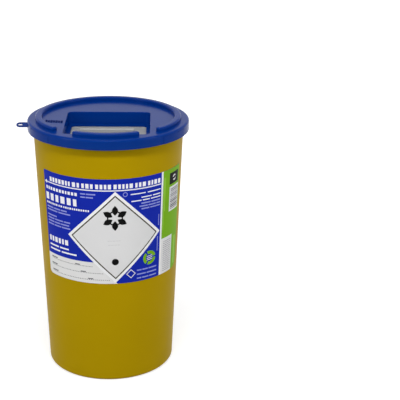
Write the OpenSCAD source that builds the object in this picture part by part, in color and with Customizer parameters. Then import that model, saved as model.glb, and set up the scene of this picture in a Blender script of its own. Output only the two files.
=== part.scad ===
// Round medical sharps bin: a tall tapered tub, a press-fit lid with a
// rectangular drop well, a tilting closure flap and a wrap-round label.
// Millimetres, +Z up. The origin is the centre of the foot ring, on the
// surface the bin stands on, and the front of the bin faces -Y.

/* [Tub] */
// Outer radius of the tub wall, run down to the floor line
tub_base_r = 73.8; // [68:0.1:78]
// Outer radius of the tub wall at the bottom of the lid's skirt
tub_mouth_r = 85.0; // [80:0.1:87]
// Height of the bottom edge of the lid's skirt above the floor
skirt_z = 285.0; // [270:0.5:310]
// Thickness of the tub wall
tub_wall = 1.6; // [1.2:0.1:2.4]
// Thickness of the tub's floor
tub_floor = 1.8; // [1.4:0.1:3]
// Radius round the bottom edge of the tub
heel_r = 3.8; // [2.5:0.1:6]
// Height that the floor is raised inside the foot ring
foot_rise = 2.5; // [1.5:0.1:4]
// Width of the flat foot ring that the bin stands on
foot_w = 5.5; // [4:0.1:8]
// Width of the rim flange outside the tub wall
flange_w = 3.9; // [3:0.1:4.5]
// Thickness of the rim flange
flange_t = 2.0; // [1.5:0.1:3]

/* [Lid] */
// Outer radius of the lid
lid_r = 91.5; // [90:0.1:96]
// Height of the lid from the skirt's bottom edge to its flat top
lid_h = 11.3; // [10.5:0.1:15]
// Thickness of the lid's top plate
lid_t = 1.8; // [1.4:0.1:2.4]
// Thickness of the lid's skirt
skirt_t = 1.9; // [1.4:0.1:2.2]
// Radius round the lid's top edge
lid_edge_r = 2.4; // [1:0.1:3]
// Clearance between the tub's rim and the lid that clips over it
snap_gap = 0.3; // [0.2:0.05:0.5]
// Height of each snap ridge inside the skirt
ridge_h = 1.8; // [1.2:0.1:2.4]
// How far each snap ridge reaches in from the skirt
ridge_w = 1.4; // [1:0.1:1.8]
// Number of snap ridges
ridge_count = 8; // [4:1:12]
// Depth of the plug ring that goes into the tub's mouth
plug_h = 6.0; // [3:0.1:8]
// Thickness of the plug ring
plug_t = 2.0; // [1.8:0.1:2.4]
// Thickness of the shallow grip pads on the skirt
pad_t = 0.35; // [0.2:0.05:0.6]
// Angle from the front to the near side of each grip pad
pad_from_angle = 43; // [35:1:50]
// Angle from the front to the far side of each grip pad
pad_to_angle = 68; // [60:1:80]

/* [Bead] */
// Radius of the middle of the raised bead on the lid
bead_r = 78.6; // [76:0.1:80]
// Width of the raised bead
bead_w = 7.7; // [6:0.1:8.4]
// Height of the raised bead
bead_h = 4.3; // [3.9:0.1:6]
// Radius along the bead's upper edges
bead_edge_r = 2.0; // [1:0.1:3]
// Wall of the hollow bead
bead_wall = 1.6; // [1.2:0.1:2]
// Angle from the front to each end of the long rear bead
bead_end_angle = 44.5; // [42:0.5:60]
// Angle from the front to each end of the short front bead
front_bead_angle = 27.0; // [20:0.1:32]

/* [Well] */
// Width of the drop well in the lid
well_w = 94.4; // [90:0.1:96]
// Distance from the lid's centre to the front wall of the well
well_front = 66.8; // [62:0.1:68]
// Distance from the lid's centre to the back wall of the well
well_back = 23.0; // [18:0.1:30]
// Depth of the well from the lid's top to its ledge
well_depth = 14.0; // [12:0.1:18]
// Thickness of the well's walls
well_wall = 1.6; // [1.2:0.1:2]
// Radius of the well's corners
well_corner = 6.0; // [5.5:0.1:9]
// Radius round the top edge of the well
well_lip = 0.7; // [0.4:0.1:1.2]
// Width of the ledge at the sides
ledge_side = 4.4; // [4:0.1:6.5]
// Width of the ledge at the front
ledge_front = 5.2; // [4.4:0.1:6.5]
// Width of the ledge at the back
ledge_back = 5.6; // [4.4:0.1:6.5]
// Thickness of the ledge
ledge_t = 2.2; // [1.6:0.1:3]
// Radius of the corners of the opening inside the ledge
ledge_corner = 3.0; // [2:0.1:4]

/* [Flap] */
// Thickness of the closure flap's plate
flap_t = 1.8; // [1.4:0.1:2.2]
// How far the flap laps under the ledge at its sides and back
flap_lap = 1.8; // [1.2:0.1:2.2]
// Gap between the flap and what it passes when it tilts
flap_gap = 0.8; // [0.6:0.1:1.2]
// Gap under the ledge when the flap is closed
close_gap = 0.3; // [0.2:0.05:0.5]
// Distance from the lid's centre forward to the flap's pivot
pivot_y = 48.0; // [46:0.5:52]
// Radius of the flap's pivot pins
pin_r = 2.5; // [2:0.1:2.6]
// Radial clearance of the pins in their brackets
pin_gap = 0.1; // [0.05:0.01:0.1]
// Radius of the boss that carries each pin
boss_r = 3.0; // [2.9:0.1:3.2]
// Wall thickness round each pin in its bracket
bracket_wall = 2.6; // [2:0.1:3]
// Depth of the stiffening rim under the flap
flap_rim_h = 4.2; // [2:0.1:5]
// Thickness of the stiffening rim under the flap
flap_rim_t = 1.8; // [1.4:0.1:2.2]
// Height of the fine locating rib on top of the flap
rib_h = 0.7; // [0.4:0.1:1]
// Width of the fine locating rib on top of the flap
rib_w = 1.4; // [1:0.1:2]
// Width of the grip bar
grip_w = 61.0; // [40:0.5:64]
// Height of the grip bar above the flap's plate
grip_h = 12.6; // [8:0.1:14]
// Thickness of the grip bar
grip_t = 3.4; // [2.4:0.1:4.5]
// Radius of the grip bar's upper corners
grip_corner = 2.4; // [1.5:0.1:5.5]
// Bevel along the grip bar's top edges
grip_bevel = 0.9; // [0.3:0.1:1.4]
// Distance from the lid's centre forward to the grip bar
grip_y = 33.0; // [30:0.5:38]

/* [Tag loop] */
// Width of the loop for a tag at the lid's left side
loop_w = 9.2; // [8.5:0.1:12]
// Reach of the loop out from the skirt
loop_reach = 13.0; // [11:0.1:16]
// Length of the slot in the loop
loop_slot_l = 5.6; // [4.5:0.1:7]
// Width of the slot in the loop
loop_slot_w = 3.8; // [2.5:0.1:3.9]
// Thickness of the loop
loop_t = 1.2; // [1:0.1:2]
// Height of the loop above the skirt's bottom edge
loop_z = 2.0; // [1.6:0.1:8]
// Forward tilt of the loop
loop_tilt_angle = 15; // [0:1:20]

/* [Label] */
// Height of the label's lower edge above the floor
label_z = 125.0; // [90:0.5:135]
// Height of the label
label_h = 125.0; // [110:0.5:140]
// Angle from the front to the label's left end
label_left_angle = 57; // [50:1:80]
// Angle from the front to the label's right end
label_right_angle = 73; // [68:1:90]
// Thickness of the label film
film_t = 0.2; // [0.1:0.05:0.3]
// Thickness of each layer of ink
ink_t = 0.06; // [0.04:0.01:0.1]
// Glue line between the label and the tub
glue_t = 0.1; // [0.05:0.01:0.15]
// Radius of the label's lower left corner
label_corner = 5.0; // [3:0.5:8]
// Radius of the label's lower right corner
label_turn = 9.5; // [5:0.5:12]
// Angle to the middle of the big diamond, to the right of the front
diamond_angle = 6.7; // [2:0.1:10]
// Half the diagonal of the big diamond
diamond_half = 54.8; // [50:0.1:58]
// Width of the white margin round the diamond
diamond_margin = 4.6; // [3:0.1:6]
// Width of the thin dark line inside the margin
diamond_line = 1.1; // [0.8:0.1:2]
// Angle to the white line between the blue and the green fields
divider_angle = 47.2; // [44:0.1:50]

/* [Hidden] */
$fn = 96;
small = 0.01;

// Heights
lid_top = skirt_z + lid_h;
lid_under = lid_top - lid_t;
rim_top = lid_under - snap_gap;
ledge_top = lid_top - well_depth;
ledge_under = ledge_top - ledge_t;
skirt_in = lid_r - skirt_t;

// The tub's outer wall is a cone through the two radii given above.
taper = (tub_mouth_r - tub_base_r) / skirt_z;
function wall_r(z) = tub_base_r + taper * z;
function arc_pts(c, r, from, to, n) =
    [for (i = [0:n]) let (a = from + (to - from) * i / n) [c[0] + r * cos(a), c[1] + r * sin(a)]];

// The rim flange hangs over the lid's snap ridges. Joined shapes reach
// into each other by root.
root = 0.5;
floor_step = 0.6;
plug_lead = 0.6;
ridge_lead = 0.7;
ridge_up = 2.9;
ridge_z = skirt_z + ridge_up;
flange_z = ridge_z + ridge_h + snap_gap;
ridge_angle = 20;

// Middles of the end caps of the rear and the front bead, as angles from +X
bead_cap = asin(bead_w / 2 / bead_r);
bead_spans = [[270 + bead_end_angle + bead_cap, 630 - bead_end_angle - bead_cap],
              [270 - front_bead_angle + bead_cap, 270 + front_bead_angle - bead_cap]];
bead_sink = root;

// Plan of the well and of the opening inside its ledge
well_d = well_front + well_back;
well_mid = (well_back - well_front) / 2;
open_w = well_w - 2 * ledge_side;
open_front = well_front - ledge_front;
open_back = well_back - ledge_back;

// The flap closes up against the underside of the ledge.
flap_top = ledge_under - close_gap;
flap_under = flap_top - flap_t;
flap_half = open_w / 2 + flap_lap;
flap_back = open_back + flap_lap + small;
tail_half = open_w / 2 - flap_gap;
tail_front = open_front - flap_gap;
pivot_z = flap_top - boss_r;
flap_corner = 4;
tail_rim_h = 2.4;
side_gap = 0.4;
bracket_in = flap_half + side_gap;
bracket_out = well_w / 2 + well_wall;
pin_end = bracket_out - side_gap;
rib_inset = 0.2;
bracket_r = pin_r + pin_gap + bracket_wall;

// Label heights
label_top = label_z + label_h;
label_r = wall_r(label_z + label_h / 2);
film_edge = 0.4;
edge_angle = 0.4;
diamond_up = 1.1;
diamond_z = label_z + diamond_half + diamond_up;
panel_h = 25.4;
rule_up = 111.3;
rule_z = label_z + rule_up;
rule_h = 1.1;
divider_half_angle = 0.9;
stripes_from_angle = 56.5;
stripes_to_angle = 71.2;
stripes_up = 74.5;
stripes_z = label_z + stripes_up;
stripes_h = 29;
mark_up = 106.2;
mark_z = label_z + mark_up;
mark_h = 13.4;
leaflet_angle = 62.6;
leaflet_h = 43.4;

// 2D rectangle with four equal round corners, centred on the origin
module round_rect(w, d, r) {
    union() {
        square([w - 2 * r, d], center = true);
        square([w, d - 2 * r], center = true);
        for (x = [-1, 1], y = [-1, 1])
            translate([x * (w / 2 - r), y * (d / 2 - r)]) circle(r);
    }
}

// The children's profile carried round a rectangle with round corners;
// the profile's x is the distance out from the centre of each corner.
module round_rect_sweep(w, d, r) {
    for (k = [0, 1]) {
        side = k == 0 ? w : d;
        across = k == 0 ? d : w;
        for (s = [0, 180])
            rotate([0, 0, 90 * k + s])
                translate([0, across / 2 - r, 0])
                    rotate([90, 0, 90])
                        translate([0, 0, r - side / 2])
                            linear_extrude(side - 2 * r) children();
    }
    for (x = [-1, 1], y = [-1, 1])
        translate([x * (w / 2 - r), y * (d / 2 - r), 0])
            rotate([0, 0, x > 0 ? (y > 0 ? 0 : 270) : (y > 0 ? 90 : 180)])
                rotate_extrude(angle = 90) children();
}

// Turned section of the tub: foot ring, rounded heel, tapered wall and rim
module tub_section() {
    ring_out = tub_base_r - heel_r;
    ring_in = ring_out - foot_w;
    lean = atan(taper);
    heel_c = [wall_r(heel_r) - heel_r / cos(lean), heel_r];
    in_r = heel_r - tub_wall;
    polygon(concat(
        [[0, foot_rise], [ring_in - foot_rise, foot_rise], [ring_in, 0]],
        arc_pts(heel_c, heel_r, 270, 360 - lean, 8),
        [[wall_r(flange_z), flange_z], [wall_r(flange_z) + flange_w, flange_z],
         [wall_r(flange_z) + flange_w, flange_z + flange_t],
         [wall_r(flange_z + flange_t), flange_z + flange_t],
         [wall_r(rim_top), rim_top], [wall_r(rim_top) - tub_wall, rim_top]],
        arc_pts([heel_c[0], tub_floor + in_r], in_r, 360 - lean, 270, 6),
        [[ring_in + floor_step, tub_floor],
         [ring_in - foot_rise + floor_step, tub_floor + foot_rise], [0, tub_floor + foot_rise]]));
}

module tub() {
    color([0.80, 0.66, 0.08]) rotate_extrude($fn = 180) tub_section();
}

// Outline of the bead's outer half, from its foot up to its flat crown
function bead_half(from_z) = concat([[bead_w / 2, from_z]],
    arc_pts([bead_w / 2 - bead_edge_r, bead_h - bead_edge_r], bead_edge_r, 0, 90, 6));

// Bead along the circle bead_r between two angles, with round ends
module bead(from, to) {
    half = bead_half(-bead_sink);
    rotate([0, 0, from]) rotate_extrude(angle = to - from, $fn = 180)
        translate([bead_r, 0])
            polygon(concat(half, [for (i = [len(half) - 1:-1:0]) [-half[i][0], half[i][1]]]));
    for (k = [0, 1])
        rotate([0, 0, k == 0 ? from + 180 : to]) translate([k == 0 ? -bead_r : bead_r, 0, 0])
            rotate_extrude(angle = 180, $fn = 48) polygon(concat([[0, -bead_sink]], half, [[0, bead_h]]));
}

// Hollow under a bead
module bead_hollow(from, to) {
    rotate([0, 0, from]) rotate_extrude(angle = to - from, $fn = 180)
        translate([bead_r - bead_w / 2 + bead_wall, lid_under - 1])
            square([bead_w - 2 * bead_wall, lid_t + bead_h - bead_wall + 1]);
}

// Turned section of the lid: top plate, rounded edge, skirt and plug ring
module lid_section() {
    plug_r = wall_r(lid_under - plug_h) - tub_wall - snap_gap;
    polygon(concat(
        [[0, lid_under], [plug_r - plug_t, lid_under], [plug_r - plug_t, lid_under - plug_h],
         [plug_r - plug_lead, lid_under - plug_h], [plug_r, lid_under - plug_h + 2 * plug_lead],
         [plug_r, lid_under],
         [skirt_in, lid_under], [skirt_in, skirt_z], [lid_r, skirt_z]],
        arc_pts([lid_r - lid_edge_r, lid_top - lid_edge_r], lid_edge_r, 0, 90, 8),
        [[0, lid_top]]));
}

// One snap ridge inside the skirt, with sloping faces
module snap_ridge() {
    rotate([0, 0, -ridge_angle / 2]) rotate_extrude(angle = ridge_angle, $fn = 180)
        polygon([[skirt_in + root, ridge_z - ridge_lead], [skirt_in, ridge_z - ridge_lead],
                 [skirt_in - ridge_w, ridge_z + ridge_h - ridge_lead],
                 [skirt_in - ridge_w, ridge_z + ridge_h], [skirt_in + root, ridge_z + ridge_h]]);
}

// Shallow pad on the skirt that fingers grip
module grip_pad() {
    for (s = [-1, 1])
        rotate([0, 0, 270 + (s > 0 ? pad_from_angle : -pad_to_angle)])
            rotate_extrude(angle = pad_to_angle - pad_from_angle, $fn = 180)
                translate([lid_r - root, skirt_z])
                    square([root + pad_t, lid_h - lid_edge_r - root]);
}

// Bracket under the ledge that holds one of the flap's pins
module pin_bracket() {
    translate([bracket_in, -pivot_y, pivot_z]) rotate([0, 90, 0])
        cylinder(r = bracket_r, h = bracket_out - bracket_in);
    translate([bracket_in, -pivot_y - bracket_r, pivot_z])
        cube([bracket_out - bracket_in, 2 * bracket_r, ledge_under + small - pivot_z]);
}

// Flat loop at the left of the skirt, with a hole for a tag
module tag_loop() {
    eye = lid_r + loop_reach - loop_w / 2;
    translate([0, 0, skirt_z + loop_z]) rotate([loop_tilt_angle, 0, 0])
        translate([0, 0, -loop_t / 2]) linear_extrude(loop_t) difference() {
            union() {
                translate([-eye, 0]) circle(loop_w / 2);
                translate([-eye, -loop_w / 2]) square([eye - lid_r + skirt_t / 2, loop_w]);
            }
            for (s = [-1, 1])
                translate([s * (loop_slot_l - loop_slot_w) / 2 - eye, 0]) circle(loop_slot_w / 2);
            translate([-eye, 0]) square([loop_slot_l - loop_slot_w, loop_slot_w], center = true);
        }
}

module lid() {
    color([0.03, 0.15, 0.50]) difference() {
        union() {
            rotate_extrude($fn = 180) lid_section();
            translate([0, 0, lid_top]) for (b = bead_spans) bead(b[0], b[1]);
            translate([0, well_mid, ledge_under])
                linear_extrude(well_depth + ledge_t)
                    round_rect(well_w + 2 * well_wall, well_d + 2 * well_wall, well_corner + well_wall);
            for (k = [0:ridge_count - 1]) rotate([0, 0, 360 * (k + 0.5) / ridge_count]) snap_ridge();
            for (s = [0, 1]) mirror([s, 0, 0]) pin_bracket();
            grip_pad();
            tag_loop();
        }
        for (b = bead_spans) bead_hollow(b[0], b[1]);
        translate([0, well_mid, ledge_top])
            linear_extrude(well_depth + 1) round_rect(well_w, well_d, well_corner);
        translate([0, (open_back - open_front) / 2, ledge_under - 1])
            linear_extrude(ledge_t + 2) round_rect(open_w, open_front + open_back, ledge_corner);
        translate([0, well_mid, lid_top - well_lip])
            round_rect_sweep(well_w, well_d, well_corner) difference() {
                translate([well_corner - small, 0]) square([well_lip + small, well_lip + small]);
                translate([well_corner + well_lip, 0]) circle(well_lip);
            }
        translate([-bracket_out - 1, -pivot_y, pivot_z]) rotate([0, 90, 0])
            cylinder(r = pin_r + pin_gap, h = 2 * bracket_out + 2);
    }
}

// Plan of the flap: a wide rear part and a narrower tail before the pivot
module flap_plan() {
    r = flap_corner;
    rear = flap_back + pivot_y;
    union() {
        translate([-flap_half, -pivot_y]) square([2 * flap_half, rear - r]);
        translate([r - flap_half, flap_back - r]) square([2 * (flap_half - r), r]);
        for (s = [-1, 1]) translate([s * (flap_half - r), flap_back - r]) circle(r);
        translate([-tail_half, ledge_corner - tail_front])
            square([2 * tail_half, tail_front - ledge_corner - pivot_y + 1]);
        translate([ledge_corner - tail_half, -tail_front])
            square([2 * (tail_half - ledge_corner), ledge_corner + small]);
        for (s = [-1, 1])
            translate([s * (tail_half - ledge_corner), ledge_corner - tail_front]) circle(ledge_corner);
    }
}

// Rim under the flap: deep at the sides and rear, and shallow along the
// tail's edge and in three ribs that run from front to rear
module flap_rim() {
    side_l = flap_back + pivot_y - flap_corner;
    translate([0, 0, flap_under - flap_rim_h]) linear_extrude(flap_rim_h + small) {
        for (s = [-1, 1])
            translate([s * (flap_half - flap_rim_t / 2) - flap_rim_t / 2, -pivot_y])
                square([flap_rim_t, side_l]);
        translate([flap_corner - flap_half, flap_back - flap_rim_t])
            square([2 * (flap_half - flap_corner), flap_rim_t]);
        for (s = [0, 1]) mirror([s, 0])
            translate([flap_half - flap_corner, flap_back - flap_corner]) intersection() {
                difference() {
                    circle(flap_corner);
                    circle(flap_corner - flap_rim_t);
                }
                square(flap_corner);
            }
    }
    translate([ledge_corner - tail_half, -tail_front, flap_under - tail_rim_h])
        cube([2 * (tail_half - ledge_corner), flap_rim_t, tail_rim_h + small]);
    for (x = [-1, 0, 1])
        translate([(x * grip_w - flap_rim_t) / 2, flap_rim_t / 2 - tail_front, flap_under - tail_rim_h])
            cube([flap_rim_t, flap_back + tail_front - flap_rim_t, tail_rim_h + small]);
}

// Upright bar that is pinched to tilt the flap: its front outline has round
// upper corners, and its side outline is bevelled along the top.
module grip_bar() {
    intersection() {
        translate([0, grip_t / 2, 0]) rotate([90, 0, 0]) linear_extrude(grip_t) union() {
            translate([-grip_w / 2, 0]) square([grip_w, grip_h - grip_corner]);
            translate([grip_corner - grip_w / 2, 0]) square([grip_w - 2 * grip_corner, grip_h]);
            for (s = [-1, 1])
                translate([s * (grip_w / 2 - grip_corner), grip_h - grip_corner]) circle(grip_corner);
        }
        translate([-grip_w, 0, 0]) rotate([90, 0, 90]) linear_extrude(2 * grip_w)
            polygon([[-grip_t, -1], [grip_t, -1], [grip_t, grip_h - grip_bevel - grip_t / 2],
                     [0, grip_h + grip_t / 2 - grip_bevel], [-grip_t, grip_h - grip_bevel - grip_t / 2]]);
    }
}

module closure_flap() {
    rib_w_out = 2 * (tail_half - rib_inset);
    rib_d_out = open_front + open_back - 2 * (flap_gap + rib_inset);
    color([0.86, 0.85, 0.80]) union() {
        translate([0, 0, flap_under]) linear_extrude(flap_t) flap_plan();
        flap_rim();
        translate([0, (open_back - open_front) / 2, flap_top - small])
            linear_extrude(rib_h + small) difference() {
                round_rect(rib_w_out, rib_d_out, ledge_corner);
                round_rect(rib_w_out - 2 * rib_w, rib_d_out - 2 * rib_w, ledge_corner - rib_w / 2);
            }
        translate([0, -grip_y, flap_top - small]) grip_bar();
        for (s = [0, 1]) mirror([s, 0, 0]) {
            translate([flap_half - flap_rim_t, -pivot_y, pivot_z]) rotate([0, 90, 0])
                cylinder(r = boss_r, h = flap_rim_t);
            translate([flap_half - small, -pivot_y, pivot_z]) rotate([0, 90, 0])
                cylinder(r = pin_r, h = pin_end - flap_half + small);
        }
    }
}

// Turns a flat drawing to face outwards at an angle from the front
module facing(at) {
    rotate([0, 0, at]) rotate([90, 0, 0]) translate([0, 0, label_r / 2]) linear_extrude(label_r) children();
}

// Thin sector of the tub's cone: from one height and angle to another
module patch(from, to, low, high, inner, outer) {
    rotate([0, 0, from - 90]) rotate_extrude(angle = to - from, $fn = 180)
        polygon([[wall_r(low) + inner, low], [wall_r(low) + outer, low],
                 [wall_r(high) + outer, high], [wall_r(high) + inner, high]]);
}

film_in = glue_t;
film_out = glue_t + film_t;

// A field of ink, which starts inside the film and stands proud of it
module ink(from, to, low, high, layer) {
    patch(from, to, low, high, film_in + film_t / 2, film_out + layer * ink_t);
}

// Ink with a free outline, cut from the skin by a drawing that faces out
module ink_shape(at, half_angle, low, high, layer) {
    intersection() {
        ink(at - half_angle, at + half_angle, low, high, layer);
        facing(at) children();
    }
}

// A diamond as it looks when it is wrapped round the tub
function unwrap_x(s) = label_r * sin(s / label_r * 180 / PI);
module diamond(half) {
    n = 6;
    polygon([for (e = [0:3], i = [0:n - 1])
        let (a = [[1, 0], [0, 1], [-1, 0], [0, -1]][e], b = [[0, 1], [-1, 0], [0, -1], [1, 0]][e],
             p = (a * (n - i) + b * i) / n * half)
        [unwrap_x(p[0]), diamond_z + p[1]]]);
}

// Square corner less its quarter circle, to round a corner of the film
module corner_bite(r) {
    difference() {
        translate([-1, -1]) square(r + 1);
        translate([r, r]) circle(r);
    }
}

module film() {
    difference() {
        patch(-label_left_angle, label_right_angle, label_z, label_top, film_in, film_out);
        facing(-label_left_angle) translate([0, label_z]) corner_bite(label_corner);
        facing(label_right_angle) translate([0, label_z]) mirror([1, 0]) corner_bite(label_turn);
        facing(label_right_angle) translate([0, label_top]) rotate(180) corner_bite(label_corner / 2);
        facing(-label_left_angle) translate([0, label_top]) mirror([0, 1]) corner_bite(label_corner / 3);
    }
}

// White panel to write on, below and to the left of the diamond
module writing_panel() {
    edge = label_left_angle / 180 * PI * label_r;
    translate([0, label_z + film_edge]) polygon([[-edge, 0], [0, 0],
        [unwrap_x(-panel_h), panel_h], [-edge, panel_h]]);
}

module label() {
    low = label_z + film_edge;
    high = label_top - film_edge;
    diamond_reach = diamond_half / label_r * 180 / PI + 1;
    union() {
        color([0.10, 0.18, 0.66]) film();
        color([0.95, 0.95, 0.96]) {
            ink(-label_left_angle + 1, divider_angle - divider_half_angle, rule_z, rule_z + rule_h, 1);
            ink_shape(diamond_angle, diamond_reach, low, high, 2) diamond(diamond_half);
            ink_shape(diamond_angle, diamond_reach + 30, low, low + panel_h, 1) writing_panel();
            ink(stripes_from_angle, stripes_to_angle, stripes_z, stripes_z + stripes_h, 2);
        }
        color([0.80, 0.80, 0.81]) ink(divider_angle, leaflet_angle, low, low + leaflet_h, 2);
        color([0.16, 0.15, 0.12]) ink_shape(diamond_angle, diamond_reach, low, high, 3)
            diamond(diamond_half - diamond_margin);
        color([0.84, 0.84, 0.85]) ink_shape(diamond_angle, diamond_reach, low, high, 4)
            diamond(diamond_half - diamond_margin - diamond_line);
        color([0.05, 0.05, 0.05]) ink(stripes_from_angle, stripes_to_angle - 1, mark_z, mark_z + mark_h, 2);
        color([0.45, 0.69, 0.13])
            ink(divider_angle + divider_half_angle, label_right_angle - edge_angle, low + label_turn, high, 1);
    }
}

tub();
lid();
closure_flap();
label();
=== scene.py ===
# %% [markdown]
# # A round sharps bin
# The solids of the bin come ready made: a tapered tub, a press-fit lid with a drop
# well, a tilting flap and a wrap-round label. This lesson gives them their
# plastics and their print, and sets up the studio and the camera.
# Everything is in metres, and the front of the bin faces -Y.

# %% Load the solids
import math
import bpy
import bmesh
from mathutils import Matrix, Vector


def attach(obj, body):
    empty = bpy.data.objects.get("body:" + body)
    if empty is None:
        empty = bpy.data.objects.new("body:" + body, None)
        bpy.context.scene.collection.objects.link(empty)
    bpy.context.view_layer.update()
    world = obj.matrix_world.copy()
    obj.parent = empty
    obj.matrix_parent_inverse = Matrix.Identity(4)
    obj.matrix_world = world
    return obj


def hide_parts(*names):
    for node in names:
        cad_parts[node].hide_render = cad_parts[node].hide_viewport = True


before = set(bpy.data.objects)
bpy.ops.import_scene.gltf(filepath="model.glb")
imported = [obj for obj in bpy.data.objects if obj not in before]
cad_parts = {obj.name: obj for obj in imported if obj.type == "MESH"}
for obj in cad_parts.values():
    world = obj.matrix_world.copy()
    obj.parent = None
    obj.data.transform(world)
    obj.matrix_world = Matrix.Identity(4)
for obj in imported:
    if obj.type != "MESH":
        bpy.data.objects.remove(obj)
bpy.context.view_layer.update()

# %% [markdown]
# ## Camera
# The picture was taken from in front and a little above, with a long lens, so
# the sides of the tub stay nearly straight. The place, the turn and the lens
# below are real sizes that make the tub, the skirt and the well land where the
# picture has them. A Track To constraint could aim the camera too, but not with
# the slight roll of the picture. Three axes that stand square on each other give
# all of it, and a matrix holds them as its columns.

# %% Camera
scene = bpy.context.scene
camera_place = Vector((0.0542, -1.2134, 0.6342))
camera_yaw = math.radians(2.42)
camera_pitch = math.radians(19.81)
camera_roll = math.radians(0.96)
sensor_width = 36.0
lens_length = 99.31

forward = Vector((math.sin(camera_yaw) * math.cos(camera_pitch),
                  math.cos(camera_yaw) * math.cos(camera_pitch), -math.sin(camera_pitch)))
level_right = Vector((math.cos(camera_yaw), -math.sin(camera_yaw), 0))
level_up = level_right.cross(forward)
right = math.cos(camera_roll) * level_right + math.sin(camera_roll) * level_up
up = math.cos(camera_roll) * level_up - math.sin(camera_roll) * level_right

camera_data = bpy.data.cameras.new("camera")
camera_data.sensor_width = sensor_width
camera_data.lens = lens_length
camera_data.clip_start = 0.05
camera_data.clip_end = 20
camera = bpy.data.objects.new("camera", camera_data)
scene.collection.objects.link(camera)
camera.matrix_world = Matrix((
    (right.x, up.x, -forward.x, camera_place.x),
    (right.y, up.y, -forward.y, camera_place.y),
    (right.z, up.z, -forward.z, camera_place.z),
    (0, 0, 0, 1)))
scene.camera = camera
scene.view_settings.view_transform = "Standard"
print("camera at", [round(c, 3) for c in camera_place])

# %% [markdown]
# ## Colours
# Colours are easiest to read off as the 0 to 255 values that a screen shows, but
# a shader counts light, so each value is turned into its linear share first.

# %% A colour from its screen values
def tone(red, green, blue):
    def linear(value):
        share = value / 255
        return share / 12.92 if share <= 0.04045 else ((share + 0.055) / 1.055) ** 2.4
    return (linear(red), linear(green), linear(blue), 1.0)


print("mid grey is", round(tone(128, 128, 128)[0], 3), "of the light")

# %% [markdown]
# ## Small helpers for node trees
# A material in a script is a list of nodes and of links between them. A node for
# each sum would take four lines every time, so a few helpers add one node, wire
# its inputs and give back its output. The same helpers serve the Geometry Nodes
# further down, because both kinds of tree know the Math node.

# %% Helpers for node trees
def new_group(name, inputs, outputs):
    group = bpy.data.node_groups.new(name, "ShaderNodeTree")
    for socket_name, kind, value in inputs:
        socket = group.interface.new_socket(socket_name, in_out="INPUT", socket_type=kind)
        if value is not None:
            socket.default_value = value
    for socket_name, kind in outputs:
        group.interface.new_socket(socket_name, in_out="OUTPUT", socket_type=kind)
    return group, group.nodes.new("NodeGroupInput"), group.nodes.new("NodeGroupOutput")


def math_node(tree, operation, first, second):
    node = tree.nodes.new("ShaderNodeMath")
    node.operation = operation
    for socket, value in zip(node.inputs, (first, second)):
        if isinstance(value, (int, float)):
            socket.default_value = value
        else:
            tree.links.new(value, socket)
    return node.outputs[0]


def noise_node(tree, vector, scale, detail):
    node = tree.nodes.new("ShaderNodeTexNoise")
    node.inputs["Detail"].default_value = detail
    tree.links.new(vector, node.inputs["Vector"])
    if isinstance(scale, (int, float)):
        node.inputs["Scale"].default_value = scale
    else:
        tree.links.new(scale, node.inputs["Scale"])
    return node.outputs["Fac"]


def mix_colours(tree, share, first, second):
    node = tree.nodes.new("ShaderNodeMix")
    node.data_type = "RGBA"
    tree.links.new(share, node.inputs["Factor"])
    tree.links.new(first, node.inputs["A"])
    tree.links.new(second, node.inputs["B"])
    return node.outputs["Result"]


COLOUR, NUMBER, VECTOR = "NodeSocketColor", "NodeSocketFloat", "NodeSocketVector"
print("helpers are ready")

# %% [markdown]
# ## A shared skin for moulded plastic
# The tub, the lid and the flap are all injection moulded polypropylene. Close up,
# such a skin has a very fine grain from the mould, a slow mottle where the melt
# cooled unevenly, and hair-thin handling marks. Each material could carry its own
# noise, but all three plastics show the same effect, so it is one node group. It
# gives out a colour, a roughness and a height, and each plastic sets its own
# strengths. The hairs are a noise that is pulled long, and only its peaks count.

# %% The moulded skin group
hair_scale = 1500.0
hair_stretch = 0.06
hair_threshold = 0.72
moulded_skin, skin_in, skin_out = new_group(
    "moulded skin",
    [("Vector", VECTOR, None), ("Colour", COLOUR, None), ("Mottle Colour", COLOUR, None),
     ("Mottle Scale", NUMBER, 16.0), ("Grain Scale", NUMBER, 1800.0),
     ("Gloss", NUMBER, 0.4), ("Gloss Spread", NUMBER, 0.1), ("Scratches", NUMBER, 0.2)],
    [("Colour", COLOUR), ("Roughness", NUMBER), ("Height", NUMBER)])

mottle = noise_node(moulded_skin, skin_in.outputs["Vector"], skin_in.outputs["Mottle Scale"], 3.0)
grain = noise_node(moulded_skin, skin_in.outputs["Vector"], skin_in.outputs["Grain Scale"], 2.0)
stretch = moulded_skin.nodes.new("ShaderNodeMapping")
stretch.inputs["Scale"].default_value = (1.0, 1.0, hair_stretch)
moulded_skin.links.new(skin_in.outputs["Vector"], stretch.inputs["Vector"])
hairs = noise_node(moulded_skin, stretch.outputs["Vector"], hair_scale, 1.0)
scratch = math_node(moulded_skin, "MULTIPLY",
                    math_node(moulded_skin, "GREATER_THAN", hairs, hair_threshold),
                    skin_in.outputs["Scratches"])
moulded_skin.links.new(
    mix_colours(moulded_skin, mottle, skin_in.outputs["Colour"], skin_in.outputs["Mottle Colour"]),
    skin_out.inputs["Colour"])
spread = math_node(moulded_skin, "MULTIPLY", math_node(moulded_skin, "SUBTRACT", mottle, 0.5),
                   skin_in.outputs["Gloss Spread"])
gloss = math_node(moulded_skin, "ADD", skin_in.outputs["Gloss"], spread)
moulded_skin.links.new(math_node(moulded_skin, "ADD", gloss, scratch), skin_out.inputs["Roughness"])
moulded_skin.links.new(math_node(moulded_skin, "SUBTRACT", grain, scratch), skin_out.inputs["Height"])
print("moulded skin group has", len(moulded_skin.nodes), "nodes")

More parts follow.
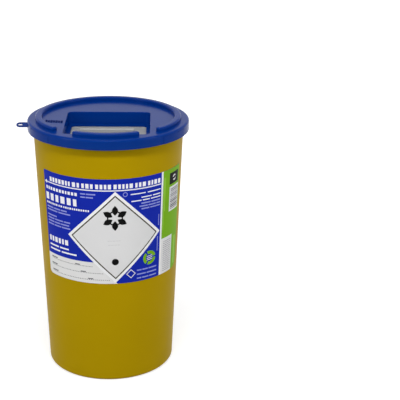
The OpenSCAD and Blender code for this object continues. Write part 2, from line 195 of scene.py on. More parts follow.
# %% [markdown]
# ## A material for moulded plastic
# Each plastic feeds its Principled shader from the shared skin, and a Bump node
# turns the height into a normal. The bump reaches two hundredths of a millimetre,
# which is all that a mould's grain has. Displacing the mesh would need millions of
# faces for it. Object coordinates keep the pattern fixed to the piece.

# %% A material for moulded plastic
def new_material(name):
    material = bpy.data.materials.new(name)
    material.use_nodes = True
    tree = material.node_tree
    shader = tree.nodes["Principled BSDF"]
    place = tree.nodes.new("ShaderNodeTexCoord").outputs["Object"]
    return material, tree, shader, place


def add_bump(tree, shader, height, strength, distance):
    bump = tree.nodes.new("ShaderNodeBump")
    bump.inputs["Strength"].default_value = strength
    bump.inputs["Distance"].default_value = distance
    tree.links.new(height, bump.inputs["Height"])
    tree.links.new(bump.outputs["Normal"], shader.inputs["Normal"])


mould_grain_depth = 0.00002
plastic_ior = 1.49


def moulded_plastic(name, colour, mottle_colour, gloss, gloss_spread, shine, grain_strength, scratches):
    material, tree, shader, place = new_material(name)
    skin = tree.nodes.new("ShaderNodeGroup")
    skin.node_tree = moulded_skin
    skin.inputs["Colour"].default_value = colour
    skin.inputs["Mottle Colour"].default_value = mottle_colour
    skin.inputs["Gloss"].default_value = gloss
    skin.inputs["Gloss Spread"].default_value = gloss_spread
    skin.inputs["Scratches"].default_value = scratches
    tree.links.new(place, skin.inputs["Vector"])
    tree.links.new(skin.outputs["Colour"], shader.inputs["Base Color"])
    tree.links.new(skin.outputs["Roughness"], shader.inputs["Roughness"])
    add_bump(tree, shader, skin.outputs["Height"], grain_strength, mould_grain_depth)
    shader.inputs["IOR"].default_value = plastic_ior
    shader.inputs["Specular IOR Level"].default_value = shine
    return material


print("grain is", mould_grain_depth / 0.001, "mm deep")

# %% [markdown]
# ## The three plastics
# Tub yellow, lid blue and the milky white of plastic that has no pigment. The tub
# is a fine matte, the lid is smoother, and the flap lies between them. The flap's
# white is set greyer than the plastic is, as painted shade. The dark blue is the
# lid's own plastic with painted shade darkened into its colour, for the raised row.

# %% Plastics for the tub, the lid and the flap
tub_yellow = moulded_plastic("tub yellow plastic", tone(170, 141, 0), tone(165, 136, 0),
                             0.42, 0.10, 0.03, 0.35, 0.05)
lid_blue = moulded_plastic("lid blue plastic", tone(0, 47, 126), tone(0, 44, 120),
                           0.20, 0.05, 0.05, 0.30, 0.04)
# The flap's grey is the natural plastic's off-white, darkened with painted shade.
flap_white_painted_shade = moulded_plastic("natural white plastic with painted shade", tone(160, 161, 161), tone(152, 153, 153),
                             0.40, 0.12, 0.20, 0.30, 0.06)
# The row's dark blue is the lid's blue, darkened with painted shade.
lid_blue_painted_shade = moulded_plastic("lid blue plastic with painted shade", tone(0, 22, 84), tone(0, 20, 78),
                                0.60, 0.06, 0.0, 0.30, 0.0)
for node_name, plastic in (("tub", tub_yellow), ("lid", lid_blue), ("closure_flap", flap_white_painted_shade)):
    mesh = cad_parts[node_name].data
    mesh.materials.clear()
    mesh.materials.append(plastic)
    print(node_name, "gets", plastic.name)

# %% [markdown]
# ## The label's film
# A printed film lies round the front of the tub, which is a cone. Paper bends
# but doesn't stretch, so each place on it is best named by its angle round the
# tub and its height, and one function wraps that pair onto the cone. A Shrinkwrap
# modifier could press flat print on the tub as well, but it would pull straight
# lines askew. Every piece of print starts as a flat outline, is cut into narrow
# upright strips so that it can bend, gets its thickness, and is wrapped.

# %% Sizes of the tub and the film
mm = 0.001
tub_base_radius = 73.8 * mm
tub_mouth_radius = 85.0 * mm
tub_mouth_height = 285.0 * mm
tub_taper = (tub_mouth_radius - tub_base_radius) / tub_mouth_height
film_inside = 0.1 * mm
film_outside = 0.3 * mm
ink_layer = 0.05 * mm
strip_angle = math.radians(1.5)


def wall_radius(height):
    return tub_base_radius + tub_taper * height


print("radius at the label's foot:", round(wall_radius(125 * mm) / mm, 1), "mm")

# %% Wrapping a sheet round the tub
def wrap(angle, height, lift):
    radius = wall_radius(height) + lift
    return Vector((radius * math.sin(angle), -radius * math.cos(angle), height))


def add_sheet(target, outline, inside, outside):
    flat = bmesh.new()
    flat.faces.new([flat.verts.new((angle, height, inside)) for angle, height in outline])
    angles = [angle for angle, height in outline]
    for k in range(math.ceil(min(angles) / strip_angle), math.floor(max(angles) / strip_angle) + 1):
        bmesh.ops.bisect_plane(flat, geom=flat.verts[:] + flat.edges[:] + flat.faces[:],
                               plane_co=(k * strip_angle, 0, 0), plane_no=(1, 0, 0), dist=1e-7)
    raised = bmesh.ops.extrude_face_region(flat, geom=flat.faces[:])["geom"]
    for vertex in raised:
        if isinstance(vertex, bmesh.types.BMVert):
            vertex.co.z = outside
    for vertex in flat.verts:
        vertex.co = wrap(vertex.co.x, vertex.co.y, vertex.co.z)
    bmesh.ops.recalc_face_normals(flat, faces=flat.faces[:])
    part = bpy.data.meshes.new("part")
    flat.to_mesh(part)
    flat.free()
    target.from_mesh(part)
    bpy.data.meshes.remove(part)


print("strips are", round(math.degrees(strip_angle), 1), "degrees wide")

# %% [markdown]
# ## Outlines for print
# The print is made of a few simple shapes: blocks, a diamond, a disc, arcs of a
# ring and petals. Curves from Blender's own text or curve tools would do, but a
# formula keeps each outline short and exact. Blocks are given by two angles in
# degrees and two heights in millimetres. Free shapes are drawn in millimetres
# about a centre, and the distance to the side becomes an angle by the radius of
# the tub there.

# %% Outlines
def block(left, right, low, high):
    left, right = math.radians(left), math.radians(right)
    return [(left, low * mm), (right, low * mm), (right, high * mm), (left, high * mm)]


def placed(points, centre_angle, centre_height):
    radius = wall_radius(centre_height * mm)
    return [(math.radians(centre_angle) + x * mm / radius, (centre_height + y) * mm) for x, y in points]


def diamond(half):
    return [(half, 0), (0, half), (-half, 0), (0, -half)]


def disc(radius, corners=40):
    turns = [2 * math.pi * k / corners for k in range(corners)]
    return [(radius * math.cos(t), radius * math.sin(t)) for t in turns]


def ring_arc(inner, outer, start, end, steps=20):
    turns = [math.radians(start + (end - start) * k / steps) for k in range(steps + 1)]
    return ([(outer * math.cos(t), outer * math.sin(t)) for t in turns]
            + [(inner * math.cos(t), inner * math.sin(t)) for t in reversed(turns)])


def petal(length, width, turn, gap):
    half = [(width / 2 * math.sin(math.pi * k / 20), gap + length * k / 20) for k in range(21)]
    outline = half + [(-x, y) for x, y in reversed(half[1:-1])]
    c, s = math.cos(math.radians(turn)), math.sin(math.radians(turn))
    return [(x * c - y * s, x * s + y * c) for x, y in outline]


print("a petal has", len(petal(10, 5, 0, 1)), "corners")

# %% [markdown]
# ## Finishes of the print
# Printed film has a slight sheen and isn't perfectly flat: it follows small
# ripples of the glue. A picture of the print could be laid on one sheet, but then
# the inks would have no edges of their own. Each ink here is a thin layer of the
# same film in another colour, so one group and one function make them all.

# %% The printed film group
ripple_scale = 30.0
tooth_scale = 900.0
film_surface, film_in, film_out = new_group(
    "printed film",
    [("Vector", VECTOR, None), ("Colour", COLOUR, None), ("Shade Colour", COLOUR, None),
     ("Gloss", NUMBER, 0.4)],
    [("Colour", COLOUR), ("Roughness", NUMBER), ("Height", NUMBER)])
ripple = noise_node(film_surface, film_in.outputs["Vector"], ripple_scale, 2.0)
tooth = noise_node(film_surface, film_in.outputs["Vector"], tooth_scale, 2.0)
film_surface.links.new(
    mix_colours(film_surface, ripple, film_in.outputs["Colour"], film_in.outputs["Shade Colour"]),
    film_out.inputs["Colour"])
film_surface.links.new(
    math_node(film_surface, "ADD", film_in.outputs["Gloss"],
              math_node(film_surface, "MULTIPLY", tooth, 0.12)),
    film_out.inputs["Roughness"])
film_surface.links.new(
    math_node(film_surface, "ADD", ripple, math_node(film_surface, "MULTIPLY", tooth, 0.08)),
    film_out.inputs["Height"])
print("printed film group has", len(film_surface.nodes), "nodes")

# %% [markdown]
# ## The inks
# Every ink gets two colours that lie close together, because print on film is
# never quite even. The pale and the faint ones stand for print that is too fine to
# show, where the eye mixes it with what lies under it.

# %% One material for each ink
film_gloss = 0.38
film_ripple_depth = 0.0002


def printed_film(name, colour, shade_colour):
    material, tree, shader, place = new_material(name)
    film = tree.nodes.new("ShaderNodeGroup")
    film.node_tree = film_surface
    film.inputs["Colour"].default_value = colour
    film.inputs["Shade Colour"].default_value = shade_colour
    film.inputs["Gloss"].default_value = film_gloss
    tree.links.new(place, film.inputs["Vector"])
    tree.links.new(film.outputs["Colour"], shader.inputs["Base Color"])
    tree.links.new(film.outputs["Roughness"], shader.inputs["Roughness"])
    add_bump(tree, shader, film.outputs["Height"], 0.25, film_ripple_depth)
    shader.inputs["Specular IOR Level"].default_value = 0.04
    return material


inks = {
    "blue": printed_film("film blue", tone(20, 41, 164), tone(18, 37, 155)),
    "pale_blue": printed_film("film pale blue", tone(142, 150, 212), tone(130, 138, 204)),
    "white": printed_film("film white", tone(238, 238, 239), tone(231, 231, 233)),
    "off_white": printed_film("film off white", tone(224, 224, 223), tone(217, 217, 217)),
    "grey": printed_film("film pale grey", tone(218, 218, 218), tone(212, 212, 213)),
    "faint_grey": printed_film("film faint grey", tone(198, 198, 200), tone(192, 192, 194)),
    "mid_grey": printed_film("film mid grey", tone(150, 150, 156), tone(138, 138, 146)),
    "dark_grey": printed_film("film dark grey", tone(112, 112, 116), tone(104, 104, 108)),
    "olive": printed_film("film dark olive", tone(58, 53, 34), tone(52, 47, 30)),
    "black": printed_film("film black", tone(8, 8, 8), tone(12, 12, 12)),
    "green": printed_film("film green", tone(118, 172, 28), tone(112, 165, 26)),
    "pale_green": printed_film("film pale green", tone(150, 196, 74), tone(142, 188, 68)),
}
print("inks:", ", ".join(inks))

# %% [markdown]
# ## Rows of print with Geometry Nodes
# From a step away, small print is only a rhythm of short bars. Here a row has
# some bars of uneven width with gaps between, and it fills a stretch of the
# label from its left angle to its right angle. The same rule with even widths
# makes dotted writing lines and stripes. A Python loop could place every bar, but
# one tree with named inputs says the rule once and serves all the rows. First come
# its inputs, each with a kind and a starting value.

# %% Inputs of the print row tree
row_tree = bpy.data.node_groups.new("print row", "GeometryNodeTree")
row_face = row_tree.interface
row_face.new_socket("Geometry", in_out="INPUT", socket_type="NodeSocketGeometry")
row_face.new_socket("Geometry", in_out="OUTPUT", socket_type="NodeSocketGeometry")
row_inputs = {}
for socket_name, kind, value in (
        ("Left", NUMBER, 0.0), ("Right", NUMBER, 0.1), ("Middle", NUMBER, 0.1), ("Height", NUMBER, 1 * mm),
        ("Bars", "NodeSocketInt", 5), ("Gap", NUMBER, 0.2), ("Unevenness", NUMBER, 0.5),
        ("Seed", "NodeSocketInt", 1), ("Lift", NUMBER, film_outside), ("Thickness", NUMBER, ink_layer),
        ("Foot Radius", NUMBER, tub_base_radius), ("Taper", NUMBER, tub_taper),
        ("Ink", "NodeSocketMaterial", None)):
    socket = row_face.new_socket(socket_name, in_out="INPUT", socket_type=kind)
    if value is not None:
        socket.default_value = value
    row_inputs[socket_name] = socket.identifier
given = row_tree.nodes.new("NodeGroupInput").outputs
result = row_tree.nodes.new("NodeGroupOutput").inputs
print("print row inputs:", ", ".join(row_inputs))

# %% [markdown]
# ## Where each bar stands
# A Mesh Line gives one point a bar. A seeded random width is added up along the
# row by Accumulate Field, whose trailing sum says how much of the row lies before
# each bar. The whole row is then scaled to fill its stretch. At this stage the
# points lie flat, with the angle as X and the height as Y.

# %% Points and widths
def vector_of(tree, x, y, z):
    node = tree.nodes.new("ShaderNodeCombineXYZ")
    for socket, value in zip(node.inputs, (x, y, z)):
        if isinstance(value, (int, float)):
            socket.default_value = value
        else:
            tree.links.new(value, socket)
    return node.outputs[0]


points = row_tree.nodes.new("GeometryNodeMeshLine")
row_tree.links.new(given["Bars"], points.inputs["Count"])
index = row_tree.nodes.new("GeometryNodeInputIndex").outputs[0]
width_share = row_tree.nodes.new("FunctionNodeRandomValue")
width_share.data_type = "FLOAT"
row_tree.links.new(math_node(row_tree, "SUBTRACT", 1.0, given["Unevenness"]), width_share.inputs[2])
row_tree.links.new(math_node(row_tree, "ADD", 1.0, given["Unevenness"]), width_share.inputs[3])
row_tree.links.new(index, width_share.inputs["ID"])
row_tree.links.new(given["Seed"], width_share.inputs["Seed"])
share = width_share.outputs[1]
run = row_tree.nodes.new("GeometryNodeAccumulateField")
run.data_type = "FLOAT"
row_tree.links.new(share, run.inputs[0])
span = math_node(row_tree, "SUBTRACT", given["Right"], given["Left"])
last_gap = math_node(row_tree, "SUBTRACT", run.outputs["Total"], given["Gap"])
unit = math_node(row_tree, "DIVIDE", span, last_gap)
start = math_node(row_tree, "ADD", given["Left"],
                  math_node(row_tree, "MULTIPLY", run.outputs["Trailing"], unit))
width = math_node(row_tree, "MULTIPLY", math_node(row_tree, "SUBTRACT", share, given["Gap"]), unit)
middle = math_node(row_tree, "ADD", start, math_node(row_tree, "MULTIPLY", width, 0.5))

set_points = row_tree.nodes.new("GeometryNodeSetPosition")
row_tree.links.new(points.outputs[0], set_points.inputs["Geometry"])
row_tree.links.new(vector_of(row_tree, middle, given["Middle"], 0.0), set_points.inputs["Position"])
print("points are set by", len(row_tree.nodes), "nodes")

# %% [markdown]
# ## A bar on each point
# Each point gets a thin box as an instance, scaled to its own width. The box is
# cut into six strips along the row, so that a wide bar can bend with the tub.
# Realize Instances turns the boxes into mesh, whose corners can then be moved.

# %% Bars
bar_strips = 6
bar = row_tree.nodes.new("GeometryNodeMeshCube")
bar.inputs["Size"].default_value = (1, 1, 1)
bar.inputs["Vertices X"].default_value = bar_strips + 1
on_points = row_tree.nodes.new("GeometryNodeInstanceOnPoints")
row_tree.links.new(set_points.outputs[0], on_points.inputs["Points"])
row_tree.links.new(bar.outputs["Mesh"], on_points.inputs["Instance"])
row_tree.links.new(vector_of(row_tree, width, given["Height"], given["Thickness"]),
                   on_points.inputs["Scale"])
realize = row_tree.nodes.new("GeometryNodeRealizeInstances")
row_tree.links.new(on_points.outputs[0], realize.inputs[0])
print("each bar has", bar_strips, "strips")

# %% [markdown]
# ## Wrapping the row on the cone
# The same sum as in the wrap function is done here on every corner: the tub's
# radius at that height, with the lift of the ink on top, times the sine and the
# cosine of the angle. Set Material gives the row its ink as the last step.

# %% Wrapped rows
place = row_tree.nodes.new("ShaderNodeSeparateXYZ")
row_tree.links.new(row_tree.nodes.new("GeometryNodeInputPosition").outputs[0], place.inputs[0])
cone_radius = math_node(row_tree, "ADD", given["Foot Radius"],
                        math_node(row_tree, "MULTIPLY", given["Taper"], place.outputs["Y"]))
reach = math_node(row_tree, "ADD", math_node(row_tree, "ADD", cone_radius, given["Lift"]),
                  place.outputs["Z"])
side = math_node(row_tree, "MULTIPLY", reach, math_node(row_tree, "SINE", place.outputs["X"], 0.0))
ahead = math_node(row_tree, "MULTIPLY", reach, math_node(row_tree, "COSINE", place.outputs["X"], 0.0))
to_front = math_node(row_tree, "MULTIPLY", ahead, -1.0)
wrapped = row_tree.nodes.new("GeometryNodeSetPosition")
row_tree.links.new(realize.outputs[0], wrapped.inputs["Geometry"])
row_tree.links.new(vector_of(row_tree, side, to_front, place.outputs["Y"]), wrapped.inputs["Position"])
set_ink = row_tree.nodes.new("GeometryNodeSetMaterial")
row_tree.links.new(wrapped.outputs[0], set_ink.inputs["Geometry"])
row_tree.links.new(given["Ink"], set_ink.inputs["Material"])
row_tree.links.new(set_ink.outputs[0], result["Geometry"])
print("print row tree has", len(row_tree.nodes), "nodes")

# %% [markdown]
# ## Running a tree and keeping the result
# A modifier is a recipe, and a finished piece should be plain mesh. Applying the
# modifier by an operator needs the right object to be selected, so each row is
# made on a carrier object instead: the evaluated mesh is copied out of it, and
# the carrier is thrown away with its modifier.

# %% One row as plain mesh
def add_row(target, left, right, middle_height, height, bars, gap, unevenness, seed, layer, ink):
    carrier = bpy.data.objects.new("carrier", bpy.data.meshes.new("carrier"))
    scene.collection.objects.link(carrier)
    modifier = carrier.modifiers.new("print row", "NODES")
    modifier.node_group = row_tree
    for socket_name, value in (
            ("Left", math.radians(left)), ("Right", math.radians(right)), ("Middle", middle_height * mm),
            ("Height", height * mm), ("Bars", bars), ("Gap", gap), ("Unevenness", unevenness),
            ("Seed", seed), ("Lift", film_outside + (layer - 0.5) * ink_layer),
            ("Thickness", ink_layer), ("Ink", inks[ink])):
        modifier[row_inputs[socket_name]] = value
    evaluated = carrier.evaluated_get(bpy.context.evaluated_depsgraph_get())
    part = bpy.data.meshes.new_from_object(evaluated)
    target.from_mesh(part)
    bpy.data.meshes.remove(part)
    bpy.data.objects.remove(carrier)


word_gap, bar_gap, bar_unevenness = 0.65, 0.36, 0.18


def add_words(target, left, right, middle_height, height, words, seed):
    step = (right - left) / (sum(words) + word_gap * (len(words) - 1))
    at = left
    for k, length in enumerate(words):
        add_row(target, at, at + length * step, middle_height, height, length,
                bar_gap, bar_unevenness, seed + k, 1, "white")
        at += (length + word_gap) * step


print("rows are ready")

# %% [markdown]
# ## Finishing a piece of the label
# All print of one ink becomes one piece. It takes the place of the solid label,
# rides on the body of the bin, and is smooth across its strips but sharp at its
# edges, as a thin layer of ink is.

# %% One piece for each ink
sharp_from = math.radians(30)


def finish_piece(name, target, ink):
    mesh = bpy.data.meshes.new(name)
    target.to_mesh(mesh)
    target.free()
    mesh.materials.clear()
    mesh.materials.append(inks[ink])
    for polygon in mesh.polygons:
        polygon.material_index = 0
        polygon.use_smooth = True
    mesh.set_sharp_from_angle(angle=sharp_from)
    piece = bpy.data.objects.new(name, mesh)
    scene.collection.objects.link(piece)
    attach(piece, "bin")
    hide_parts("label")
    print(name, "has", len(mesh.polygons), "faces")


print("sharp from", round(math.degrees(sharp_from)), "degrees")

# %% [markdown]
# ## The film itself
# The film runs from 57 degrees left of the front to 73 degrees right of it. Its
# lower corners are well rounded and its top corners nearly square, so a helper
# draws a block with a radius for each corner, from the lower left one on. A Bevel
# modifier would give all four the same one.

# %% The blue film
label_left, label_right = -57.0, 73.0
label_low, label_high = 125.0, 250.0
corner_points, least_radius = 7, 0.05


def rounded_block(left, right, low, high, radii):
    radius_here = wall_radius((low + high) / 2 * mm) / mm
    corners = ((right, low, radii[1], -90), (right, high, radii[2], 0),
               (left, high, radii[3], 90), (left, low, radii[0], 180))
    outline = []
    for angle, height, radius, turn in corners:
        radius = max(radius, least_radius)
        inward = -1 if angle == right else 1
        upward = -1 if height == high else 1
        for k in range(corner_points):
            t = math.radians(turn + 90 * k / (corner_points - 1))
            x = inward * radius + radius * math.cos(t)
            y = upward * radius + radius * math.sin(t)
            outline.append((math.radians(angle) + x / radius_here, (height + y) * mm))
    return outline


film = bmesh.new()
film_corners = (5.0, 9.5, 2.0, 1.5)
add_sheet(film, rounded_block(label_left, label_right, label_low, label_high, film_corners),
          film_inside, film_outside)
finish_piece("label_film", film, "blue")

# %% [markdown]
# ## White fields
# A line that marks the highest fill runs under the heading, with an arrow tip at
# its left. A big diamond stands in the middle, and a panel to write on fills the
# lower left corner. Each ink lies in a layer of its own, twentieths of a
# millimetre above the film, so that no two share a surface. The panel is cut to
# run a little way under the diamond, because two inks that only touch would show
# a thread of blue between them. Its left side is that of a block with one round
# corner, and its right side slopes as the diamond does. Its white is a little
# greyer, so it is a piece of its own.

# %% White fields and rules
diamond_angle, diamond_height, diamond_half = 6.7, 181.0, 54.8
line_height, divider_angle, half_divider = 236.8, 47.2, 0.9
arrow_tip = [(-2.6, 0), (1.4, -2.4), (1.4, 2.4)]
panel_top, under_diamond = 150.8, 2.0


def raised(layer):
    return film_outside + (layer - 1) * ink_layer, film_outside + layer * ink_layer


white = bmesh.new()
add_sheet(white, block(-54, 45.6, line_height - 0.6, line_height + 0.6), *raised(1))
add_sheet(white, placed(arrow_tip, -54.2, line_height), *raised(1))
add_sheet(white, block(divider_angle - half_divider, divider_angle + half_divider, label_low, label_high),
          *raised(1))
add_sheet(white, placed(diamond(diamond_half), diamond_angle, diamond_height), *raised(2))
finish_piece("label_white_fields", white, "white")

diamond_reach = (diamond_half - under_diamond - (diamond_height - panel_top)) * mm
panel_block = rounded_block(label_left, label_left + 20, label_low, panel_top, (film_corners[0], 0, 0, 0))
panel_left_side = panel_block[2 * corner_points:]
panel_foot = (math.radians(diamond_angle) + under_diamond * mm / tub_base_radius, label_low * mm)
panel_tip = (math.radians(diamond_angle) - diamond_reach / wall_radius(panel_top * mm), panel_top * mm)
panel = bmesh.new()
add_sheet(panel, panel_left_side + [panel_foot, panel_tip], *raised(1))
finish_piece("label_writing_panel", panel, "off_white")

# %% [markdown]
# ## The diamond's inside
# Inside the white margin is a thin dark line, and inside that a pale grey field
# with a six-petal rosette in a ring and a plain dot. Diamonds of falling size lie
# on each other like steps, so the line needs no frame cut out of it. The side
# panel's black square has the ink of the rosette, and the face of its long field
# has the pale grey, so both are made here.

# %% Diamond line, field and rosette
leaflet_right, leaflet_top = 62.8, 169.0
olive = bmesh.new()
add_sheet(olive, placed(diamond(diamond_half - 4.4), diamond_angle, diamond_height), *raised(3))
finish_piece("label_diamond_line", olive, "olive")

grey = bmesh.new()
add_sheet(grey, placed(diamond(diamond_half - 6.3), diamond_angle, diamond_height), *raised(4))
leaflet_face = block(divider_angle + 1.6, leaflet_right - 0.7, label_low + 0.6, leaflet_top - 0.7)
add_sheet(grey, leaflet_face, *raised(3))
finish_piece("label_grey_fields", grey, "grey")

rosette_angle, rosette_height, dot_height = 6.5, 204.5, 151.8
petal_count = 6
black = bmesh.new()
for k in range(petal_count):
    turn = 360 / petal_count * k
    add_sheet(black, placed(petal(11.6, 6.8, turn, 3.2), rosette_angle, rosette_height), *raised(6))
for turn in (0, 180):
    half_ring = ring_arc(7.2, 8.8, turn, turn + 180)
    add_sheet(black, placed(half_ring, rosette_angle, rosette_height), *raised(5))
add_sheet(black, placed(disc(3.9), rosette_angle, dot_height), *raised(5))
add_sheet(black, block(56.2, 70.2, 231.2, 244.8), *raised(2))
finish_piece("label_black_marks", black, "black")

# %% [markdown]
# ## The green side panel
# To the right of the white divider the film is green, with two paler strips that
# stand upright and a short one at the outer edge. The same green makes three arcs
# of a round mark beside the diamond. A block with round corners, arcs and single
# wide bars are all that this takes.

# %% Green panel and green arcs
green_left = divider_angle + half_divider
mark_angle, mark_height = 35.8, 151.3
green = bmesh.new()
green_corners = (0, film_corners[1], film_corners[2], 0)
add_sheet(green, rounded_block(green_left, label_right, label_low, label_high, green_corners), *raised(1))
for turn in (10, 130, 250):
    add_sheet(green, placed(ring_arc(4.6, 8.4, turn, turn + 104), mark_angle, mark_height), *raised(1))
finish_piece("label_green_fields", green, "green")

pale_green = bmesh.new()
add_sheet(pale_green, block(66.8, 69.8, 130.0, 165.0), *raised(2))
add_row(pale_green, 49.0, 49.7, 211.0, 62.0, 1, 0.0, 0.0, 1, 2, "pale_green")
add_row(pale_green, 50.3, 51.0, 222.0, 40.0, 1, 0.0, 0.0, 1, 2, "pale_green")
finish_piece("label_pale_green_strips", pale_green, "pale_green")

# %% [markdown]
# ## White and blue marks
# The side panel has a white field for stripes and the white edge of the long
# field. Two white arcs stand in the black square, a small white diamond has a blue
# one on it, and three sloping white bars cross the middle of the green arcs. All
# are outlines, and each lies in the layer above the ink that it covers.

# %% White and blue marks
small_mark_angle, small_mark_height = 19.3, 135.6
side_white = bmesh.new()
add_sheet(side_white, block(56.5, 71.6, 199.0, 228.4), *raised(2))
add_sheet(side_white, block(green_left, leaflet_right, label_low, leaflet_top), *raised(2))
for turn in (40, 220):
    add_sheet(side_white, placed(ring_arc(1.9, 3.6, turn, turn + 125), 63.2, 238.0), *raised(3))
add_sheet(side_white, placed(diamond(5.6), small_mark_angle, small_mark_height), *raised(1))
for shift in (-2.2, 0.0, 2.2):
    bar = [(-3.6, shift - 1.0), (3.6, shift - 0.1), (3.6, shift + 0.8), (-3.6, shift - 0.1)]
    add_sheet(side_white, placed(bar, mark_angle, mark_height), *raised(1))
finish_piece("label_side_white", side_white, "off_white")

blue_marks = bmesh.new()
add_sheet(blue_marks, placed(diamond(4.4), small_mark_angle, small_mark_height), *raised(2))
finish_piece("label_blue_marks", blue_marks, "blue")

# %% [markdown]
# ## Grey stripes
# The upper field is full of stripes, of which the lower ones are darker, and the
# long field has fine broken lines. Each is a row with one bar or five, so that it
# bends with the tub. A striped texture would need no mesh, but its edges would
# blur from close by.

# %% Grey stripes
stripes, dark_stripes = bmesh.new(), bmesh.new()
stripe_count, dark_count, stripe_step = 12, 5, 2.15
for k in range(stripe_count):
    target, ink = (dark_stripes, "dark_grey") if k < dark_count else (stripes, "mid_grey")
    thick = 1.5 if k % 3 else 0.8
    add_row(target, 58.0, 70.4, 201.6 + stripe_step * k, thick, 1, 0.0, 0.0, 1, 3, ink)
line_count, line_step = 16, 2.4
for k in range(line_count):
    add_row(stripes, 50.6, 61.0, 128.5 + line_step * k, 0.8, 5, 0.2, 0.4, 20 + k, 4, "mid_grey")
finish_piece("label_grey_stripes", stripes, "mid_grey")
finish_piece("label_dark_stripes", dark_stripes, "dark_grey")

# %% [markdown]
# ## Heading and bold rows
# The heading and the bold lines are rows of plain white bars, each line with its
# own height and weight, so that the label reads as full of print from a step away.
# A heading is a row of short rows, and its numbers say how many bars each has.

# %% Heading and bold rows
words = bmesh.new()
add_words(words, -49.0, 44.6, 241.4, 5.3, (7, 2, 3, 4, 5, 3, 4), 3)
add_words(words, -54.4, -22.8, 230.2, 3.6, (11,), 11)
add_words(words, -55.2, -23.4, 220.2, 8.2, (6,), 19)
add_words(words, -54.8, -13.4, 212.3, 2.2, (7, 2, 12), 21)
add_words(words, -54.2, -32.8, 169.6, 6.2, (6,), 60)
for k, (left, right, height, thick, count) in enumerate((
        (-54.1, -32.5, 161.7, 1.8, 2), (-54.0, -25.2, 156.8, 1.8, 2), (18.6, 45.2, 231.2, 1.2, 2),
        (27.4, 45.2, 226.3, 1.2, 2), (19.2, 45.2, 222.9, 1.2, 3))):
    add_row(words, left, right, height, thick, count, 0.12, 0.3, 70 + k, 1, "white")
finish_piece("label_print_rows", words, "white")

# %% [markdown]
# ## Small print
# The finest print is too small to show single bars from a step away. Its ink is a
# pale blue, between white and the blue of the film, in rows of two or three long
# bars, with two thin upright rules and a ring beside it.

# %% Rows of small print
small_print = bmesh.new()
for k, (left, right, height, count) in enumerate((
        (-20.0, -8.2, 232.0, 2), (-20.0, -10.0, 228.2, 2), (-54.7, -32.6, 207.5, 3),
        (-54.6, -29.4, 204.2, 2), (-54.5, -43.4, 198.0, 1), (-54.4, -29.9, 194.4, 3),
        (-54.3, -31.0, 190.8, 3), (-54.3, -30.0, 187.2, 3), (27.4, 45.2, 219.2, 2),
        (25.8, 45.2, 215.8, 3), (27.6, 45.2, 212.6, 2), (24.4, 43.2, 138.6, 3),
        (24.4, 43.2, 133.6, 2), (24.4, 43.2, 128.8, 3))):
    add_row(small_print, left, right, height, 1.55, count, 0.1, 0.35, 90 + k, 1, "pale_blue")
add_row(small_print, 43.9, 44.6, 194.5, 13.5, 1, 0.0, 0.0, 1, 1, "pale_blue")
add_row(small_print, 43.2, 43.9, 165.7, 17.7, 1, 0.0, 0.0, 1, 1, "pale_blue")
for turn in (0, 180):
    add_sheet(small_print, placed(ring_arc(1.9, 2.7, turn, turn + 178), 14.4, 231.8), *raised(1))
finish_piece("label_small_print", small_print, "pale_blue")

# %% [markdown]
# ## Lines to write on
# The white panel has three dotted lines to write on, each with a small dark bar
# above its start and another part way along. Near the middle of the diamond two
# faint broken lines can just be seen. All of them are rows from the same tree.

# %% Dotted lines and faint lines
lines = bmesh.new()
for k, (left, right, height, note) in enumerate((
        (-52.0, -12.0, 145.4, -27.0), (-52.4, -3.4, 137.4, -22.0), (-51.8, 1.8, 129.4, -16.0))):
    add_row(lines, left, right, height, 0.8, 34, 0.5, 0.1, 5 + k, 2, "dark_grey")
    add_row(lines, left - 0.6, left + 6.5, height + 1.7, 1.4, 1, 0.0, 0.0, 1, 2, "dark_grey")
    add_row(lines, note, note + 4.5, height + 1.2, 1.2, 1, 0.0, 0.0, 1, 2, "dark_grey")
finish_piece("label_dotted_lines", lines, "dark_grey")

faint = bmesh.new()
add_row(faint, 0.6, 10.6, 177.4, 0.6, 5, 0.2, 0.3, 9, 5, "faint_grey")
add_row(faint, 1.0, 10.2, 172.5, 0.6, 4, 0.2, 0.3, 10, 5, "faint_grey")
finish_piece("label_faint_rows", faint, "faint_grey")

# %% [markdown]
# ## A moulded row on the lid
# At the left of the well the lid has a short raised row: seven small blocks, 0.4 mm
# high, that step along a straight line. The row tree wraps its bars round the tub,
# so these flat ones are cubes placed by a loop. Their dull tops catch less light
# than the lid does, and their blue is darker than the lid's as painted shade.

# %% The moulded row
lid_top_height = 296.3 * mm
row_start, row_end = Vector((-68.6, -17.6)) * mm, Vector((-51.4, -20.4)) * mm
block_count, block_width, block_depth, block_rise = 7, 2.0 * mm, 8.6 * mm, 0.4 * mm
short_share = 0.8

row_blocks = bmesh.new()
for k in range(block_count):
    along = row_start.lerp(row_end, k / (block_count - 1))
    depth = block_depth * (short_share if k % 2 else 1.0)
    place = Matrix.Translation((along.x, along.y, lid_top_height + block_rise / 2))
    size = Matrix.Diagonal((block_width, depth, block_rise, 1))
    bmesh.ops.create_cube(row_blocks, size=1, matrix=place @ size)
row_mesh = bpy.data.meshes.new("lid_moulded_row")
row_blocks.to_mesh(row_mesh)
row_blocks.free()
# Painted shade: the row's blue is darker than the lid's, though it is the same plastic.
row_mesh.materials.append(lid_blue_painted_shade)
lid_row = bpy.data.objects.new("lid_moulded_row", row_mesh)
scene.collection.objects.link(lid_row)
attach(lid_row, "bin")
print("the lid's row has", block_count, "blocks")

# %% [markdown]
# ## Studio
# The bin stands on plain white. A floor that is lit until it comes out white would
# light the bin too hard, so the floor is pale, takes the bin's shadow, and glows
# only for rays that come from the camera or off a glossy skin. Near the bin the
# glow is weaker, which keeps the soft shadow at its foot. The world is white in
# the same way. For all other rays it is a dim room, brighter behind the bin than
# in front of it.

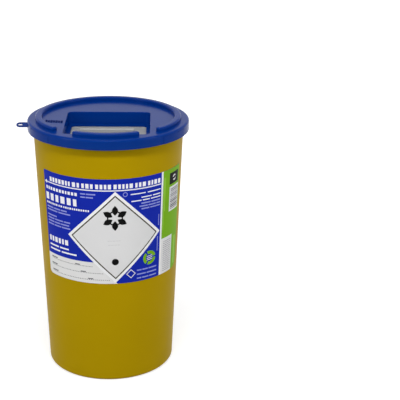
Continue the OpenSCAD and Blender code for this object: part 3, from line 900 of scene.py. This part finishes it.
# %% Rays that see the background
def shows_background(tree):
    path = tree.nodes.new("ShaderNodeLightPath").outputs
    mirrored = math_node(tree, "MAXIMUM", path["Is Glossy Ray"], path["Is Transmission Ray"])
    return math_node(tree, "MAXIMUM", path["Is Camera Ray"], mirrored)


def set_range(node, from_low, from_high, to_low, to_high):
    names = ("From Min", "From Max", "To Min", "To Max")
    for socket_name, value in zip(names, (from_low, from_high, to_low, to_high)):
        node.inputs[socket_name].default_value = value


print("background shows to camera, glossy and transmission rays")

# %% Floor
floor_half = 6.0
near_distance, far_distance = 0.10, 0.70
near_glow, far_glow = 0.60, 0.88
floor_mesh = bpy.data.meshes.new("floor")
floor_mesh.from_pydata([(-floor_half, -floor_half, 0), (floor_half, -floor_half, 0),
                        (floor_half, floor_half, 0), (-floor_half, floor_half, 0)], [], [(0, 1, 2, 3)])
floor = bpy.data.objects.new("floor", floor_mesh)
scene.collection.objects.link(floor)

floor_material = bpy.data.materials.new("studio floor")
floor_material.use_nodes = True
floor_tree = floor_material.node_tree
floor_shader = floor_tree.nodes["Principled BSDF"]
floor_shader.inputs["Base Color"].default_value = (0.54, 0.54, 0.54, 1)
floor_shader.inputs["Roughness"].default_value = 0.9
floor_shader.inputs["Specular IOR Level"].default_value = 0.1
from_bin = floor_tree.nodes.new("ShaderNodeVectorMath")
from_bin.operation = "LENGTH"
floor_tree.links.new(floor_tree.nodes.new("ShaderNodeTexCoord").outputs["Object"], from_bin.inputs[0])
glow = floor_tree.nodes.new("ShaderNodeMapRange")
floor_tree.links.new(from_bin.outputs["Value"], glow.inputs["Value"])
set_range(glow, near_distance, far_distance, near_glow, far_glow)
floor_glow = math_node(floor_tree, "MULTIPLY", shows_background(floor_tree), glow.outputs["Result"])
floor_tree.links.new(floor_glow, floor_shader.inputs["Emission Strength"])
floor_shader.inputs["Emission Color"].default_value = (1, 1, 1, 1)
floor_mesh.materials.append(floor_material)
print("floor is", 2 * floor_half, "m wide")

# %% The world
room_front, room_back = 0.10, 0.60
world = bpy.data.worlds.new("studio")
scene.world = world
world.use_nodes = True
world_tree = world.node_tree
background = world_tree.nodes["Background"]
background.inputs["Color"].default_value = (1, 1, 1, 1)
direction = world_tree.nodes.new("ShaderNodeSeparateXYZ")
world_place = world_tree.nodes.new("ShaderNodeTexCoord").outputs["Generated"]
world_tree.links.new(world_place, direction.inputs[0])
room = world_tree.nodes.new("ShaderNodeMapRange")
world_tree.links.new(direction.outputs["Y"], room.inputs["Value"])
set_range(room, -1.0, 1.0, room_front, room_back)
seen_white = math_node(world_tree, "MAXIMUM", shows_background(world_tree), room.outputs["Result"])
world_tree.links.new(seen_white, background.inputs["Strength"])
print("the room goes from", room_front, "in front to", room_back, "behind")

# %% [markdown]
# ## Lamps
# The main light comes softly from high in front, with weaker ones from both
# sides and a faint one behind for the lid's back edge. A point or a sun would draw
# hard shadows under the skirt. An area lamp has a wide face, so its shadows fade
# out softly, and its highlight on the rounded edges is a band.

# %% Lamps
def area_lamp(name, place, aim, size, power):
    data = bpy.data.lights.new(name, "AREA")
    data.shape = "RECTANGLE"
    data.size, data.size_y = size
    data.energy = power
    lamp = bpy.data.objects.new(name, data)
    lamp.location = place
    lamp.rotation_euler = (Vector(aim) - Vector(place)).to_track_quat("-Z", "Y").to_euler()
    scene.collection.objects.link(lamp)


bin_middle = (0, 0, 0.16)
area_lamp("high front softbox", (0.0, -0.8, 1.28), bin_middle, (0.7, 0.2), 11.3)
area_lamp("back softbox", (0.1, 0.9, 1.35), (0, 0, 0.25), (1.4, 0.6), 1.2)
area_lamp("left softbox", (-1.2, -0.85, 0.6), bin_middle, (0.6, 1.1), 8.4)
area_lamp("right softbox", (1.3, -0.6, 0.6), bin_middle, (0.6, 1.1), 7.2)
